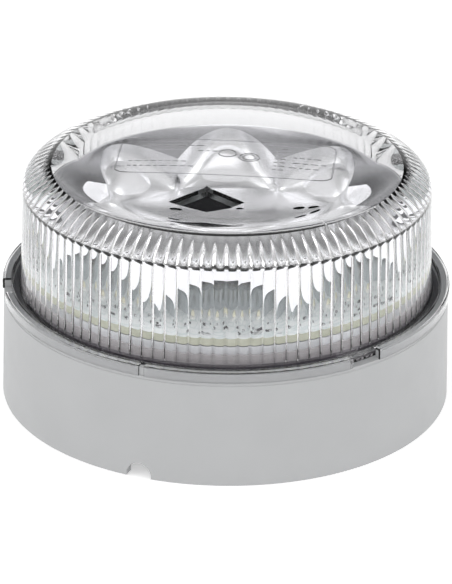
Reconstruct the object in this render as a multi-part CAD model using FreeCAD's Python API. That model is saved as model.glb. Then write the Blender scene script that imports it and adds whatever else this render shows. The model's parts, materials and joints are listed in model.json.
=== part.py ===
import FreeCAD, Part
import math
import os

# A round strobe beacon with a clear ribbed lens. Millimetres, +Z up.
# The origin is the centre of the mounting face. Azimuth 0 points to the front (-Y)
# and grows towards +X.

# ---- driving dimensions ----
FIT = 0.03                  # gap between a fastener or insert and its hole
TOUCH = 0.05                # gap between faces that meet on different bodies
OVERCUT = 1.0               # how far a cutting tool runs past the face that it cuts

BASE_R = 78.0               # base housing, at the mounting face
BASE_TOP_R = 77.2
BASE_H = 37.5
BASE_STEP_R = 76.9          # narrow step under the lens flange
BASE_STEP_Z = 36.2
UPSTAND_R = (74.75, 76.65)  # ring of the housing that the lens flange caps
UPSTAND_Z = 40.4
UPSTAND_GAP_HALF = 4.8
BASE_BORE_R = 73.9
RECESS_R = 74.3
FLOOR_Z = 6.0
FLOOR_T = 3.0
FLOOR_TOP = FLOOR_Z + FLOOR_T
NOTCH_AZ = -21.5            # cable notch in the bottom rim
NOTCH_R = 4.4
NOTCH_H = 5.2

MOUNT_PCD = 130.0
INSERT_BORE_R = 2.5
INSERT_R = 4.0
INSERT_Z = (0.5, 15.0)
INSERT_SEAT_GAP = 0.2       # room above the insert
BOLT_ROOM = 3.0             # how far the bolt hole runs on above the insert
MOUNT_BOSS_R = 6.5
MOUNT_BOSS_TOP = 24.0
MOUNT_AZ = 60.0

CABLE_R = 3.5               # cable inlet bore
GROMMET_R = 8.0
GROMMET_FLANGE_R = 11.0
GROMMET_LIP_T = (1.5, 2.0)  # lip below and above the floor
GASKET_R = (15.0, 23.0)
GASKET_LOW_Z = 0.6

VENT_R = 5.0
VENT_CAP_R = 7.0
VENT_CAP_T = 1.4
VENT_SLOT = (8.0, 0.8, 0.7)

HOOK_AZ = 97.5              # centre of the first bayonet hook
HOOK_HALF = 9.0
HOOK_IN_R = 72.3
HOOK_Z = (34.6, 36.4)
LUG_Z = (31.0, 33.0)
LUG_OUT_R = 73.4
LUG_HALF = 6.0
LUG_SHIFT = -3.0            # the closed lug lies this far from the hook's centre
STOP_GAP = 0.25
STOP_WIDTH = 1.2
SEAL_GAP = 0.3
ROOT = 1.0                  # how deep a hook or a lug is rooted in its wall

SKIRT_R = (69.4, 71.6)      # inner and outer radius of the lens skirt
SKIRT_Z = 30.5
WEB_Z = (38.0, 39.6)        # clear web between skirt, wall and flange
FLANGE_R = (74.0, 77.6)
FLANGE_SLOT_R = (74.6, 76.8)
FLANGE_SLOT_Z = 40.6
FLANGE_Z = (BASE_H + TOUCH, 41.4)
FLANGE_EDGE = 0.3           # chamfer of the flange's outer edges
LENS_WALL_T = 2.4
LENS_FOOT_R = 71.3
LENS_TOP_R = 70.4
SHOULDER_Z = 75.8
INNER_SHOULDER = (68.0, 75.0)
INNER_TOP = (60.0, 82.2)
SHOULDER_R = 50.0
SHOULDER_H = 9.6
CROWN_H = 2.0
FLANGE_NOTCH_AZ = 37.5
FLANGE_NOTCH_HALF = 4.3
SLIT_AZ = -21.0
SLIT_HALF = 0.7

CARRIER_R = (56.0, 64.4, 66.8)
CARRIER_Z = (36.0, 39.0, 43.2)
CARRIER_SCREW_R = 60.0
CARRIER_BOSS_R = 4.5
CARRIER_BOSS_TOP = 30.0
CARRIER_HOLE_Z = 13.0       # bottom of the blind holes in the housing's bosses
CARRIER_TIP_Z = 15.0
TOWER_R = 3.5
SCREW_R = 1.5
SCREW_HEAD_R = 3.0
SCREW_HEAD_H = 2.0
RECESS = (2.6, 0.6)         # length and width of the cross recess
LOW_HEAD_R = 2.6

SINK_R = 65.8
SINK_Z = (43.2, 46.0)
FIN_COUNT = 12
FIN_R = (14.0, 50.0)
FIN_T = 2.0
FIN_ROOT = 2.0              # how far a fin runs into the hub
SINK_SKIN = 0.8             # metal left above the blind screw holes
SINK_TIP_Z = 44.8
PAD_R = 62.0
PAD_T = 0.4
LED_BOARD_R = 66.0
BOARD_T = 1.6
LED_BOARD_T = 2.6
LED_BOARD_Z = SINK_Z[1] + PAD_T
LED_BOARD_TOP = LED_BOARD_Z + LED_BOARD_T

PETALS = 8
PETAL_ANGLE = 360.0 / PETALS
LED_R = 50.0
LED_STEP = 9.0
LED_SIZE = 3.5
LED_T = 0.9
LED_DOME_R = 1.4
CHIP_SIZE = (2.0, 1.25, 0.6)
CHIP_PLACES = ((-18, 61.5), (-13.5, 57.5), (-6, 60.0), (4.5, 62.0), (9, 57.0), (16, 60.5))
CHIP_TWIST = 5.0            # turn of a chip per degree away from its petal's axis

WELL_Z = 55.0               # reflector: mirror floor of the well
REFLECTOR_T = 1.6
WELL_FLAT_R = 43.0
WEB_IN = (45.7, 66.0)
RIM_R = 60.0
RIM_Z = 72.0
RIM_LAND = 1.0
SKIRT_FOOT = 3.0            # inward lean under the cusps
CUSP_R = 55.5
CUSP_Z = 52.0
ARCH_TOP_Z = 66.0
ARCH_HALF = 19.5
ARCH_FOOT_Z = 54.8
CUP_HALF_ANGLE = 21.5
CUP_BACK_R = WELL_FLAT_R + REFLECTOR_T
FLOOR_CUT = 5.0             # how far below the mirror floor its cutters start
WINDOW = (-7.2, 30.4)       # centre of the square window in the mirror floor
WINDOW_SIDE = 19.0
FLOOR_HOLES = ((-18.2, 18.9, 2.3), (4.5, 24.5, 1.5), (25.7, 20.2, 2.2), (31.2, 19.3, 2.2))
REFLECTOR_SCREW_R = 24.0
REFLECTOR_BOSS_R = 3.5
REFLECTOR_SKIN = 1.0        # material left above the blind screw holes
REFLECTOR_TIP_GAP = 0.6     # room beyond the screw tips

DRIVER_R = 52.0
DRIVER_Z = 16.0
DRIVER_TOP = DRIVER_Z + BOARD_T
DRIVER_EYE_R = 6.0          # cable hole in the middle of the driver board
STANDOFF_CORNER_R = 3.4
STANDOFF_PCR = 46.0
BOARD_SCREW_PCR = 36.0
PLUG_SIDE = 15.0
PLUG_H = 3.6
PLUG_SKIN = 0.8
HEADER_H = 9.0
SLOT_ROOM = 2.4
PIN_R = 0.5
PIN_PITCH = 2.54
PIN_COLUMNS = 5
PIN_TAIL = 1.0              # solder tail below the driver board

# small parts on the driver board: sizes are length, width, height
CAN_R = 5.0
CAN_H = 14.0
CAN_FOOT = (10.4, 10.4, 1.0)
CAN_GROOVE = (4.5, 2.4, 3.2)
COIL_R = 5.4
COIL_H = 9.0
COIL_FLANGE = (6.5, 1.5)
TRANSISTOR_CASE = (6.6, 6.1, 2.3)
TRANSISTOR_TAB = (5.4, 9.0, 0.6)
CONTROLLER_SIDE = 10.0
CONTROLLER_Z = (0.1, 1.5)
LEG_SPAN = 12.4
LEG_T = (0.4, 0.5)
LEG_PITCH = 1.2
LEG_COUNT = 8
CONNECTOR_SIZE = (14.0, 9.0, 8.5)
SOCKET = (3.0, 5.0, 1.5)    # length, width, floor height
SOCKET_PITCH = 4.3
FUSE_R = 2.6
FUSE_LENGTH = 20.0
FUSE_AXIS_UP = 4.2
CLIP_SIZE = (4.0, 7.2, 6.6)
CLIP_PITCH = 12.0
CLIP_MOUTH = 4.0

Z_AXIS = FreeCAD.Vector(0, 0, 1)
ORIGIN = FreeCAD.Vector(0, 0, 0)


# ---- helpers ----
def at(radius, azimuth, z=0.0):
    """Point at a radius and an azimuth counted from the front."""
    angle = math.radians(azimuth - 90.0)
    return FreeCAD.Vector(radius * math.cos(angle), radius * math.sin(angle), z)


def spread(count, start=0.0):
    """Evenly spaced azimuths round the axis."""
    return [start + 360.0 * i / count for i in range(count)]


def cylinder(radius, bottom, top, centre=ORIGIN):
    return Part.makeCylinder(radius, top - bottom, FreeCAD.Vector(centre.x, centre.y, bottom))


def tube(inner, outer, bottom, top, centre=ORIGIN):
    return cylinder(outer, bottom, top, centre).cut(
        cylinder(inner, bottom - OVERCUT, top + OVERCUT, centre))


def fuse(shapes):
    first, *rest = shapes
    return (first.fuse(rest) if rest else first).removeSplitter()


def turned(shape, azimuth):
    copy = shape.copy()
    copy.rotate(ORIGIN, Z_AXIS, azimuth)
    return copy


def revolve(edges_or_points):
    """Solid of revolution about Z from edges, or from (radius, z) corners."""
    if isinstance(edges_or_points[0], tuple):
        corners = [FreeCAD.Vector(r, 0, z) for r, z in edges_or_points]
        wire = Part.makePolygon(corners + corners[:1])
    else:
        wire = Part.Wire(Part.sortEdges(edges_or_points)[0])
    return Part.Face(wire).revolve(ORIGIN, Z_AXIS, 360)


def sector(inner, outer, bottom, top, centre_az, half):
    """Piece of a ring between two azimuths."""
    ring = Part.makeCylinder(outer, top - bottom, FreeCAD.Vector(0, 0, bottom), Z_AXIS, 2 * half)
    ring = ring.cut(cylinder(inner, bottom - OVERCUT, top + OVERCUT))
    return turned(ring, centre_az - 90.0 - half)


def box(length, width, bottom, top, centre, azimuth=0.0):
    """Upright block, length across and width along the given azimuth."""
    block = Part.makeBox(length, width, top - bottom, FreeCAD.Vector(-length / 2, -width / 2, bottom))
    block.rotate(ORIGIN, Z_AXIS, azimuth)
    block.translate(FreeCAD.Vector(centre.x, centre.y, 0))
    return block


def screw(centre, head_z, tip_z, shank_r=SCREW_R, head_r=SCREW_HEAD_R):
    """Pan-head screw with a cross recess; it points down when its tip is lower than its head."""
    down = tip_z < head_z
    head_top = head_z + SCREW_HEAD_H if down else head_z - SCREW_HEAD_H
    head = cylinder(head_r, min(head_z, head_top), max(head_z, head_top), centre)
    shank = cylinder(shank_r, min(head_z, tip_z), max(head_z, tip_z), centre)
    recess_z = head_top - SCREW_HEAD_H / 2 if down else head_top
    slots = [box(*RECESS, recess_z, recess_z + SCREW_HEAD_H / 2, centre, turn) for turn in (0, 90)]
    return head.fuse(shank).cut(slots)


def holes(centres, radius, bottom, top):
    return [cylinder(radius, bottom, top, centre) for centre in centres]


def save(name, shape):
    if isinstance(shape, list):
        shape = Part.makeCompound(shape)
    solids = shape.Solids
    if not solids or not all(solid.isValid() for solid in solids):
        raise ValueError("bad solid in " + name)
    if len(solids) == 1:
        shape = solids[0]
    shape.exportStep("parts/" + name + ".step")
    print("%-20s %3d solids %10.1f mm3" % (name, len(solids), sum(solid.Volume for solid in solids)))


# ---- shared positions ----
MOUNT_POINTS = [at(MOUNT_PCD / 2, az) for az in spread(3, MOUNT_AZ)]
CARRIER_POINTS = [at(CARRIER_SCREW_R, az) for az in spread(3)]
SINK_POINTS = [at(CARRIER_SCREW_R, az) for az in spread(3, MOUNT_AZ)]
REFLECTOR_POINTS = [at(REFLECTOR_SCREW_R, az) for az in spread(4, 45.0)]
BOARD_SCREW_POINTS = [at(BOARD_SCREW_PCR, az) for az in spread(6, 45.0)]
STANDOFF_POINTS = [at(STANDOFF_PCR, az) for az in spread(4, 45.0)]
PLUG_POINT = FreeCAD.Vector(WINDOW[0], WINDOW[1], 0)
PIN_POINTS = [
    PLUG_POINT + FreeCAD.Vector((column - (PIN_COLUMNS - 1) / 2) * PIN_PITCH, row * PIN_PITCH, 0)
    for column in range(PIN_COLUMNS) for row in (-0.5, 0.5)
]
VENT_POINT = at(36.0, 20.0)
CONTROLLER_POINT = FreeCAD.Vector(4.0, 22.0, 0)
CONNECTOR_POINT = FreeCAD.Vector(-16.0, 8.0, 0)
FUSE_POINT = FreeCAD.Vector(16.0, -26.0, 0)


# ---- base ----
def base_housing():
    body = revolve([
        (0, FLOOR_Z), (RECESS_R, FLOOR_Z), (RECESS_R, 0), (BASE_R, 0),
        (BASE_TOP_R, BASE_STEP_Z), (BASE_STEP_R, BASE_STEP_Z + BASE_TOP_R - BASE_STEP_R),
        (BASE_STEP_R, BASE_H), (UPSTAND_R[1], BASE_H), (UPSTAND_R[1], UPSTAND_Z),
        (UPSTAND_R[0], UPSTAND_Z), (UPSTAND_R[0], BASE_H),
        (BASE_BORE_R, BASE_H), (BASE_BORE_R, FLOOR_TOP), (0, FLOOR_TOP),
    ])
    added = holes(MOUNT_POINTS, MOUNT_BOSS_R, 0, MOUNT_BOSS_TOP)
    added += holes(CARRIER_POINTS, CARRIER_BOSS_R, FLOOR_TOP - TOUCH, CARRIER_BOSS_TOP)
    for azimuth in spread(3, HOOK_AZ):
        stop_az = azimuth - HOOK_HALF - STOP_GAP - STOP_WIDTH / 2
        added.append(sector(HOOK_IN_R, BASE_BORE_R + ROOT, *HOOK_Z, azimuth, HOOK_HALF))
        added.append(sector(HOOK_IN_R, BASE_BORE_R + ROOT, LUG_Z[0], HOOK_Z[1], stop_az, STOP_WIDTH / 2))
    body = fuse([body] + added)

    removed = holes(MOUNT_POINTS, INSERT_R + FIT, -OVERCUT, INSERT_Z[1] + INSERT_SEAT_GAP)
    removed += holes(MOUNT_POINTS, INSERT_BORE_R, 0, INSERT_Z[1] + BOLT_ROOM)
    removed += holes(CARRIER_POINTS, SCREW_R + FIT, CARRIER_HOLE_Z, CARRIER_BOSS_TOP + OVERCUT)
    removed += holes(STANDOFF_POINTS, SCREW_R + FIT, FLOOR_Z + OVERCUT, FLOOR_TOP + OVERCUT)
    removed.append(cylinder(GROMMET_R, FLOOR_Z - OVERCUT, FLOOR_TOP + OVERCUT))
    removed.append(cylinder(VENT_R, FLOOR_Z - OVERCUT, FLOOR_TOP + OVERCUT, VENT_POINT))
    removed.append(notch_tool())
    removed += [sector(BASE_BORE_R, BASE_R, BASE_H, UPSTAND_Z + OVERCUT, az, UPSTAND_GAP_HALF)
                for az in spread(3, FLANGE_NOTCH_AZ)]
    return body.cut(removed)


def notch_tool():
    """Round-topped cutter for the cable notch in the bottom rim."""
    start = -BASE_R - OVERCUT
    depth = BASE_R - RECESS_R + 2 * OVERCUT
    straight = NOTCH_H - NOTCH_R
    axis = FreeCAD.Vector(0, start, straight)
    top = Part.makeCylinder(NOTCH_R, depth, axis, FreeCAD.Vector(0, 1, 0))
    corner = FreeCAD.Vector(-NOTCH_R, start, -OVERCUT)
    foot = Part.makeBox(2 * NOTCH_R, depth, straight + OVERCUT, corner)
    return turned(top.fuse(foot), NOTCH_AZ)


def cable_grommet():
    lip_low, lip_high = FLOOR_Z - GROMMET_LIP_T[0], FLOOR_TOP + GROMMET_LIP_T[1]
    chamfer_r = GROMMET_FLANGE_R - GROMMET_LIP_T[0]
    return revolve([
        (CABLE_R, lip_low), (GROMMET_FLANGE_R, lip_low), (GROMMET_FLANGE_R, FLOOR_Z),
        (GROMMET_R - FIT, FLOOR_Z), (GROMMET_R - FIT, FLOOR_TOP), (GROMMET_FLANGE_R, FLOOR_TOP),
        (chamfer_r, lip_high), (CABLE_R, lip_high),
    ])


def vent_plug():
    length, width, floor = VENT_SLOT
    stem = cylinder(VENT_R - FIT, FLOOR_Z - OVERCUT / 2, FLOOR_TOP, VENT_POINT)
    cap = cylinder(VENT_CAP_R, FLOOR_TOP, FLOOR_TOP + VENT_CAP_T, VENT_POINT)
    slots = [box(length, width, FLOOR_TOP + floor, FLOOR_TOP + VENT_CAP_T + OVERCUT, VENT_POINT, turn)
             for turn in (0, 60, 120)]
    return stem.fuse(cap).cut(slots)


# ---- driver electronics ----
def round_board(radius, bottom, thickness, hole_lists):
    return cylinder(radius, bottom, bottom + thickness).cut(
        [tool for centres, hole_r in hole_lists
         for tool in holes(centres, hole_r, bottom - OVERCUT, bottom + thickness + OVERCUT)])


def standoff(centre):
    corners = [centre + at(STANDOFF_CORNER_R, az, FLOOR_TOP) for az in spread(6)]
    outline = Part.Face(Part.makePolygon(corners + corners[:1]))
    prism = outline.extrude(FreeCAD.Vector(0, 0, DRIVER_Z - FLOOR_TOP))
    return prism.cut(cylinder(SCREW_R + FIT, FLOOR_TOP - OVERCUT, DRIVER_Z + OVERCUT, centre))


def on_driver(size, centre, azimuth=0.0):
    """Block standing on the driver board."""
    length, width, height = size
    return box(length, width, DRIVER_TOP, DRIVER_TOP + height, centre, azimuth)


def capacitor(centre):
    inner, low, high = CAN_GROOVE
    can = cylinder(CAN_R, DRIVER_TOP + CAN_FOOT[2], DRIVER_TOP + CAN_H, centre)
    groove = tube(inner, CAN_R + OVERCUT, DRIVER_TOP + low, DRIVER_TOP + high, centre)
    return can.cut(groove).fuse(on_driver(CAN_FOOT, centre))


def inductor(centre):
    flange_r, flange_t = COIL_FLANGE
    top = DRIVER_TOP + COIL_H
    ends = [cylinder(flange_r, DRIVER_TOP, DRIVER_TOP + flange_t, centre),
            cylinder(flange_r, top - flange_t, top, centre)]
    return fuse(ends + [cylinder(COIL_R, DRIVER_TOP, top, centre)])


def transistor(centre, azimuth):
    return on_driver(TRANSISTOR_CASE, centre, azimuth).fuse(on_driver(TRANSISTOR_TAB, centre, azimuth))


def controller_chip():
    low, high = CONTROLLER_Z
    leg_width, leg_height = LEG_T
    side = CONTROLLER_SIDE
    pieces = [box(side, side, DRIVER_TOP + low, DRIVER_TOP + high, CONTROLLER_POINT)]
    for i in range(LEG_COUNT):
        shift = (i - (LEG_COUNT - 1) / 2) * LEG_PITCH
        across = CONTROLLER_POINT + FreeCAD.Vector(0, shift, 0)
        along = CONTROLLER_POINT + FreeCAD.Vector(shift, 0, 0)
        pieces.append(on_driver((LEG_SPAN, leg_width, leg_height), across))
        pieces.append(on_driver((leg_width, LEG_SPAN, leg_height), along))
    return fuse(pieces)


def supply_connector():
    length, width, floor = SOCKET
    top = DRIVER_TOP + CONNECTOR_SIZE[2] + OVERCUT
    sockets = [box(length, width, DRIVER_TOP + floor, top, CONNECTOR_POINT + FreeCAD.Vector(x, 0, 0))
               for x in (-SOCKET_PITCH, 0, SOCKET_PITCH)]
    return on_driver(CONNECTOR_SIZE, CONNECTOR_POINT).cut(sockets)


def along_x(radius, length, middle_x):
    """Cylinder along X on the fuse's axis."""
    start = FreeCAD.Vector(middle_x - length / 2, FUSE_POINT.y, DRIVER_TOP + FUSE_AXIS_UP)
    return Part.makeCylinder(radius, length, start, FreeCAD.Vector(1, 0, 0))


def fuse_cartridge():
    return along_x(FUSE_R, FUSE_LENGTH, FUSE_POINT.x)


def fuse_clips():
    clips = []
    for x in (FUSE_POINT.x - CLIP_PITCH / 2, FUSE_POINT.x + CLIP_PITCH / 2):
        centre = FreeCAD.Vector(x, FUSE_POINT.y, 0)
        bore = along_x(FUSE_R + FIT, CLIP_SIZE[0] + 2 * OVERCUT, x)
        axis_z = DRIVER_TOP + FUSE_AXIS_UP
        mouth = box(CLIP_SIZE[0] + 2 * OVERCUT, CLIP_MOUTH, axis_z, axis_z + CLIP_MOUTH, centre)
        clips.append(on_driver(CLIP_SIZE, centre).cut([bore, mouth]))
    return clips


# ---- light engine ----
def inner_carrier():
    plate = tube(CARRIER_R[0], CARRIER_R[2], CARRIER_Z[0], CARRIER_Z[1])
    rim = tube(CARRIER_R[1], CARRIER_R[2], CARRIER_Z[0], CARRIER_Z[2])
    feet = holes(CARRIER_POINTS, CARRIER_BOSS_R, CARRIER_BOSS_TOP, CARRIER_Z[0])
    towers = holes(SINK_POINTS, TOWER_R, CARRIER_Z[0], CARRIER_Z[2])
    bores = holes(CARRIER_POINTS + SINK_POINTS, SCREW_R + FIT,
                  CARRIER_BOSS_TOP - OVERCUT, CARRIER_Z[2] + OVERCUT)
    return fuse([plate, rim] + feet + towers).cut(bores)


def heat_sink():
    plate = cylinder(SINK_R, *SINK_Z)
    hub = cylinder(FIN_R[0], CARRIER_Z[0], SINK_Z[0])
    length = FIN_R[1] - FIN_R[0] + FIN_ROOT
    middle_r = FIN_R[1] - length / 2
    fins = [box(FIN_T, length, CARRIER_Z[0], SINK_Z[0] + ROOT, at(middle_r, az), az)
            for az in spread(FIN_COUNT)]
    body = fuse([plate, hub] + fins)
    tools = holes(SINK_POINTS, SCREW_R + FIT, SINK_Z[0] - OVERCUT, SINK_Z[1] - SINK_SKIN)
    tools += holes(REFLECTOR_POINTS + BOARD_SCREW_POINTS, SCREW_R + FIT,
                   SINK_Z[0] - OVERCUT, SINK_Z[1] + OVERCUT)
    tools.append(link_slot(CARRIER_Z[0] - OVERCUT, SINK_Z[1] + OVERCUT))
    return body.cut(tools)


def link_slot(bottom, top):
    """Clearance round the board link's pins."""
    length = PIN_COLUMNS * PIN_PITCH + SLOT_ROOM
    width = 2 * PIN_PITCH + SLOT_ROOM
    return box(length, width, bottom, top, PLUG_POINT)


def thermal_pad():
    pad = cylinder(PAD_R, SINK_Z[1], LED_BOARD_Z)
    low, high = SINK_Z[1] - OVERCUT, LED_BOARD_Z + OVERCUT
    bores = holes(REFLECTOR_POINTS + BOARD_SCREW_POINTS, SCREW_R + FIT, low, high)
    return pad.cut(bores + [link_slot(low, high)])


def led_board():
    return round_board(LED_BOARD_R, LED_BOARD_Z, LED_BOARD_T, [
        (REFLECTOR_POINTS, SCREW_R + FIT), (BOARD_SCREW_POINTS, SCREW_R + FIT), (PIN_POINTS, PIN_R + FIT)])


def led_azimuths():
    return [az + step * LED_STEP for az in spread(PETALS) for step in (-1, 0, 1)]


def led_package(azimuth):
    return box(LED_SIZE, LED_SIZE, LED_BOARD_TOP, LED_BOARD_TOP + LED_T, at(LED_R, azimuth), azimuth)


def led_dome(azimuth):
    foot = at(LED_R, azimuth, LED_BOARD_TOP + LED_T)
    return Part.makeSphere(LED_DOME_R, foot, Z_AXIS, 0, 90, 360)


def board_chips():
    length, width, height = CHIP_SIZE
    chips = []
    for sector_az in spread(PETALS):
        for step, radius in CHIP_PLACES:
            centre = at(radius, sector_az + step)
            turn = sector_az + step * CHIP_TWIST
            chips.append(box(length, width, LED_BOARD_TOP, LED_BOARD_TOP + height, centre, turn))
    return chips


def board_plug():
    case = box(PLUG_SIDE, PLUG_SIDE, LED_BOARD_TOP, LED_BOARD_TOP + PLUG_H, PLUG_POINT, 45)
    top = LED_BOARD_TOP + PLUG_H - PLUG_SKIN
    return case.cut(holes(PIN_POINTS, PIN_R + FIT, LED_BOARD_TOP - OVERCUT, top))


def link_header():
    block = on_driver((PIN_COLUMNS * PIN_PITCH, 2 * PIN_PITCH, HEADER_H), PLUG_POINT)
    return block.cut(holes(PIN_POINTS, PIN_R + FIT, DRIVER_TOP - OVERCUT, DRIVER_TOP + HEADER_H + OVERCUT))


def reflector():
    body = revolve([
        (0, WELL_Z - REFLECTOR_T), (CUSP_R - RIM_LAND - SKIRT_FOOT, WELL_Z - REFLECTOR_T),
        (CUSP_R - RIM_LAND, CUSP_Z), (CUSP_R, CUSP_Z), (RIM_R, RIM_Z), (RIM_R - RIM_LAND, RIM_Z),
        WEB_IN, (0, WEB_IN[1]),
    ])
    body = fuse([body] + holes(REFLECTOR_POINTS, REFLECTOR_BOSS_R, LED_BOARD_TOP, WELL_Z))

    corner_r = WELL_FLAT_R / math.cos(math.radians(PETAL_ANGLE / 2))
    corners = [at(corner_r, az, WELL_Z) for az in spread(PETALS, PETAL_ANGLE / 2)]
    outline = Part.Face(Part.makePolygon(corners + corners[:1]))
    well = outline.extrude(FreeCAD.Vector(0, 0, RIM_Z - WELL_Z))
    floor_low, floor_high = WELL_Z - FLOOR_CUT, WELL_Z + OVERCUT
    window = box(WINDOW_SIDE, WINDOW_SIDE, floor_low, floor_high, PLUG_POINT, 45)
    cup = cup_tool()
    tools = [well, window] + [turned(cup, azimuth) for azimuth in spread(PETALS)]
    tools += holes(REFLECTOR_POINTS, SCREW_R + FIT, LED_BOARD_TOP - OVERCUT, WELL_Z - REFLECTOR_SKIN)
    tools += [cylinder(radius, floor_low, floor_high, FreeCAD.Vector(x, y, 0))
              for x, y, radius in FLOOR_HOLES]
    for tool in tools:
        body = body.cut(tool)
    return body


def cup_tool():
    """Arched cutter, open to the outside, for the cup behind one group of light-emitting diodes."""
    front = RIM_R + 5 * OVERCUT
    low = LED_BOARD_TOP - OVERCUT
    corners = [FreeCAD.Vector(x, -front, z) for x, z in (
        (-ARCH_HALF, ARCH_FOOT_Z), (-ARCH_HALF, low), (ARCH_HALF, low), (ARCH_HALF, ARCH_FOOT_Z))]
    sides = [Part.LineSegment(a, b).toShape() for a, b in zip(corners, corners[1:])]
    arch = Part.Arc(corners[0], FreeCAD.Vector(0, -front, ARCH_TOP_Z), corners[-1]).toShape()
    outline = Part.Face(Part.Wire(Part.sortEdges([arch] + sides)[0]))
    tunnel = outline.extrude(FreeCAD.Vector(0, front - CUP_BACK_R, 0))
    return tunnel.common(sector(1.0, RIM_R + 10 * OVERCUT, low, RIM_Z, 0, CUP_HALF_ANGLE))


# ---- lens ----
def lens_cover():
    crown_z = SHOULDER_Z + SHOULDER_H
    slot_in, slot_out = FLANGE_SLOT_R
    rim_in, rim_out = FLANGE_R
    outline = [
        (LENS_TOP_R, SHOULDER_Z), (LENS_FOOT_R, WEB_Z[1]), (rim_in, WEB_Z[1]), (rim_in, FLANGE_Z[1]),
        (rim_out - FLANGE_EDGE, FLANGE_Z[1]), (rim_out, FLANGE_Z[1] - FLANGE_EDGE),
        (rim_out, FLANGE_Z[0] + FLANGE_EDGE), (rim_out - FLANGE_EDGE, FLANGE_Z[0]),
        (slot_out, FLANGE_Z[0]), (slot_out, FLANGE_SLOT_Z),
        (slot_in, FLANGE_SLOT_Z), (slot_in, WEB_Z[0]),
        (SKIRT_R[1], WEB_Z[0]), (SKIRT_R[1], SKIRT_Z), (SKIRT_R[0], SKIRT_Z), (SKIRT_R[0], WEB_Z[0]),
        (LENS_FOOT_R - LENS_WALL_T, WEB_Z[1]), INNER_SHOULDER, INNER_TOP,
    ]
    points = [FreeCAD.Vector(r, 0, z) for r, z in outline]
    edges = [Part.LineSegment(a, b).toShape() for a, b in zip(points, points[1:])]
    inner_rise = crown_z + CROWN_H - LENS_WALL_T - INNER_TOP[1]
    edges += [quarter(SHOULDER_R, LENS_TOP_R, SHOULDER_Z, SHOULDER_H),
              crown(SHOULDER_R, crown_z, CROWN_H), crown(*INNER_TOP, inner_rise)]
    top = FreeCAD.Vector(0, 0, crown_z + CROWN_H)
    edges.append(Part.LineSegment(top - FreeCAD.Vector(0, 0, LENS_WALL_T), top).toShape())
    body = revolve(edges)
    lugs = [sector(SKIRT_R[1] - ROOT, LUG_OUT_R, *LUG_Z, az + LUG_SHIFT, LUG_HALF)
            for az in spread(3, HOOK_AZ)]
    body = fuse([body] + lugs)
    gaps = [(az, FLANGE_NOTCH_HALF) for az in spread(3, FLANGE_NOTCH_AZ)] + [(SLIT_AZ, SLIT_HALF)]
    return body.cut([
        sector(slot_in, rim_out + OVERCUT, FLANGE_Z[0] - OVERCUT, FLANGE_Z[1] + OVERCUT, az, half)
        for az, half in gaps])


def quarter(radius_in, radius_out, z, height):
    """Quarter of an ellipse in the XZ plane, from the top of a wall to the top face's edge."""
    tip = FreeCAD.Vector(radius_out, 0, z)
    crest = FreeCAD.Vector(radius_in, 0, z + height)
    curve = Part.Ellipse(tip, crest, FreeCAD.Vector(radius_in, 0, z))
    return Part.ArcOfEllipse(curve, 0, math.pi / 2).toShape()


def crown(edge_r, edge_z, rise):
    """Shallow arc from the edge of the top face to the axis."""
    half = edge_r / 2
    radius = (edge_r ** 2 + rise ** 2) / (2 * rise)
    middle_z = edge_z + rise - radius + math.sqrt(radius ** 2 - half ** 2)
    return Part.Arc(FreeCAD.Vector(edge_r, 0, edge_z), FreeCAD.Vector(half, 0, middle_z),
                    FreeCAD.Vector(0, 0, edge_z + rise)).toShape()


def lens_seal():
    low, high = HOOK_Z[1] + SEAL_GAP, WEB_Z[0] - TOUCH
    return tube(SKIRT_R[1] + SEAL_GAP, BASE_BORE_R - SEAL_GAP, low, high)


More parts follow.
